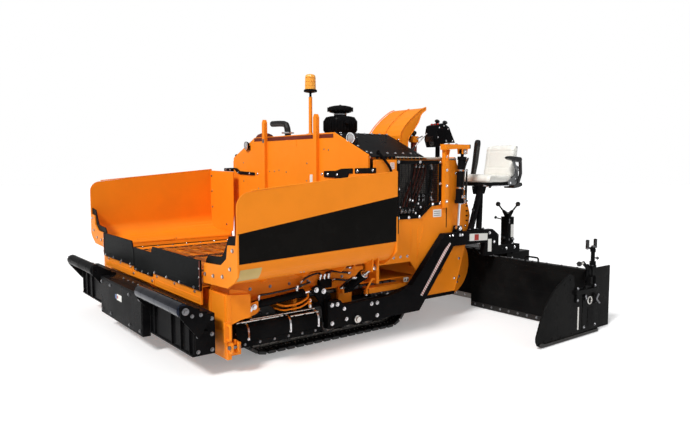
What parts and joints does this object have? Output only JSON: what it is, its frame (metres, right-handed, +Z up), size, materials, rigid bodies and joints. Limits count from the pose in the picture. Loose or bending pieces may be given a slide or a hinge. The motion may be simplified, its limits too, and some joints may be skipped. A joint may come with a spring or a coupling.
{
  "type": "asphalt paver",
  "caption": "Tracked asphalt paver with folding hopper wings, conveyor, augers and a lifting screed with sliding extensions.",
  "frame": {"origin": "ground level under the middle of the machine's bounding box", "axes": "+Z up, +X to the machine's left (the paving width), +Y to its rear, the hopper facing -Y"},
  "size_m": [4.572, 4.104, 2.2743],
  "materials": {
    "orange_paint": "gloss",
    "black_paint": "satin",
    "black_rubber": "matte",
    "track_rubber": "matte",
    "bare_steel": "satin",
    "chrome_rod": "polished",
    "seat_vinyl": "satin",
    "engine_iron": "matte",
    "amber_lens": "gloss"
  },
  "bodies": {
    "chassis": {"main_frame": "orange_paint", "hopper_deck": "orange_paint", "conveyor": "bare_steel", "front_apron": "orange_paint", "front_flap": "black_rubber", "bulkhead": "orange_paint", "conveyor_tunnel": "orange_paint", "engine_block": "engine_iron", "engine_hood": "orange_paint", "operator_deck": "orange_paint", "console_hood": "orange_paint", "dash_box": "black_paint", "beacon": "amber_lens", "precleaner": "black_paint", "exhaust": "black_paint", "left_side_panel": "orange_paint", "right_side_panel": "orange_paint", "left_mesh_guard": "black_paint", "right_mesh_guard": "black_paint", "left_lift_post": "orange_paint", "right_lift_post": "orange_paint", "left_track": "track_rubber", "right_track": "track_rubber", "left_track_frame": "orange_paint", "right_track_frame": "orange_paint", "left_track_guard": "black_paint", "right_track_guard": "black_paint", "left_auger_plate": "orange_paint", "right_auger_plate": "orange_paint", "left_tow_cylinder": "black_paint", "right_tow_cylinder": "black_paint"},
    "push_beam": {"push_beam": "black_paint"},
    "left_push_roller": {"left_push_roller": "black_paint"},
    "right_push_roller": {"right_push_roller": "black_paint"},
    "left_wing": {"left_wing": "orange_paint"},
    "right_wing": {"right_wing": "orange_paint"},
    "left_wing_barrel": {"left_wing_barrel": "black_paint"},
    "right_wing_barrel": {"right_wing_barrel": "black_paint"},
    "left_wing_rod": {"left_wing_rod": "chrome_rod"},
    "right_wing_rod": {"right_wing_rod": "chrome_rod"},
    "left_auger": {"left_auger": "bare_steel"},
    "right_auger": {"right_auger": "bare_steel"},
    "screed": {"main_screed": "black_paint", "left_tow_arm": "black_paint", "right_tow_arm": "black_paint", "left_seat_frame": "black_paint", "right_seat_frame": "black_paint", "left_seat": "seat_vinyl", "right_seat": "seat_vinyl", "left_control_tower": "black_paint", "right_control_tower": "black_paint"},
    "lift_barrels": {"left_lift_barrel": "black_paint", "right_lift_barrel": "black_paint"},
    "lift_rods": {"left_lift_rod": "chrome_rod", "right_lift_rod": "chrome_rod"},
    "left_extension": {"left_extension": "black_paint"},
    "right_extension": {"right_extension": "black_paint"},
    "left_end_gate": {"left_end_gate": "black_paint"},
    "right_end_gate": {"right_end_gate": "black_paint"}
  },
  "joints": [
    {"name": "push_beam_swing", "type": "hinge", "parent": "chassis", "child": "push_beam", "pos_m": [0, -1.808, 0.3], "axis": [0, 0, 1], "range_deg": [-2, 2]},
    {"name": "left_push_roller_spin", "type": "hinge", "parent": "push_beam", "child": "left_push_roller", "pos_m": [0.9625, -2.004, 0.495], "axis": [1, 0, 0], "continuous": true},
    {"name": "right_push_roller_spin", "type": "hinge", "parent": "push_beam", "child": "right_push_roller", "pos_m": [-0.9625, -2.004, 0.495], "axis": [1, 0, 0], "continuous": true},
    {"name": "left_wing_fold", "type": "hinge", "parent": "chassis", "child": "left_wing", "pos_m": [1.1, -1.048, 0.645], "axis": [0, -1, 0], "range_deg": [0, 50]},
    {"name": "left_wing_barrel_tilt", "type": "hinge", "parent": "chassis", "child": "left_wing_barrel", "pos_m": [1.165, -0.548, 0.415], "axis": [0, -1, 0], "range_deg": [0, 36.82]},
    {"name": "left_wing_rod_slide", "type": "slide", "parent": "left_wing_barrel", "child": "left_wing_rod", "axis": [0.8244, 0, 0.566], "range_m": [0, 0.1674]},
    {"name": "left_auger_spin", "type": "hinge", "parent": "chassis", "child": "left_auger", "pos_m": [0.5, 0.952, 0.33], "axis": [1, 0, 0], "continuous": true},
    {"name": "right_wing_fold", "type": "hinge", "parent": "chassis", "child": "right_wing", "pos_m": [-1.1, -1.048, 0.645], "axis": [0, 1, 0], "range_deg": [0, 50]},
    {"name": "right_wing_barrel_tilt", "type": "hinge", "parent": "chassis", "child": "right_wing_barrel", "pos_m": [-1.165, -0.548, 0.415], "axis": [0, 1, 0], "range_deg": [0, 36.82]},
    {"name": "right_wing_rod_slide", "type": "slide", "parent": "right_wing_barrel", "child": "right_wing_rod", "axis": [-0.8244, 0, 0.566], "range_m": [0, 0.1674]},
    {"name": "right_auger_spin", "type": "hinge", "parent": "chassis", "child": "right_auger", "pos_m": [-0.5, 0.952, 0.33], "axis": [1, 0, 0], "continuous": true},
    {"name": "screed_lift", "type": "hinge", "parent": "chassis", "child": "screed", "pos_m": [0, -0.522, 0.198], "axis": [1, 0, 0], "range_deg": [0, 8]},
    {"name": "lift_barrel_tilt", "type": "hinge", "parent": "chassis", "child": "lift_barrels", "pos_m": [0, 0.732, 1.545], "axis": [1, 0, 0], "range_deg": [-12.83, 0]},
    {"name": "lift_rod_slide", "type": "slide", "parent": "lift_barrels", "child": "lift_rods", "axis": [0, -0.0718, -0.9974], "range_m": [-0.1457, 0]},
    {"name": "left_extension_slide", "type": "slide", "parent": "screed", "child": "left_extension", "axis": [-1, 0, 0], "range_m": [0, 0.93]},
    {"name": "left_end_gate_lift", "type": "slide", "parent": "left_extension", "child": "left_end_gate", "axis": [0, 0, 1], "range_m": [0, 0.08]},
    {"name": "right_extension_slide", "type": "slide", "parent": "screed", "child": "right_extension", "axis": [1, 0, 0], "range_m": [0, 0.93]},
    {"name": "right_end_gate_lift", "type": "slide", "parent": "right_extension", "child": "right_end_gate", "axis": [0, 0, 1], "range_m": [0, 0.08]}
  ],
  "couplings": [
    {"joint": "left_wing_barrel_tilt", "follows": "left_wing_fold", "ratio": 0.71646},
    {"joint": "left_wing_rod_slide", "follows": "left_wing_fold", "m_per_rad": 0.18727},
    {"joint": "right_wing_barrel_tilt", "follows": "right_wing_fold", "ratio": 0.71646},
    {"joint": "right_wing_rod_slide", "follows": "right_wing_fold", "m_per_rad": 0.18727},
    {"joint": "lift_barrel_tilt", "follows": "screed_lift", "ratio": -1.4782},
    {"joint": "lift_rod_slide", "follows": "screed_lift", "m_per_rad": -1.0146}
  ]
}
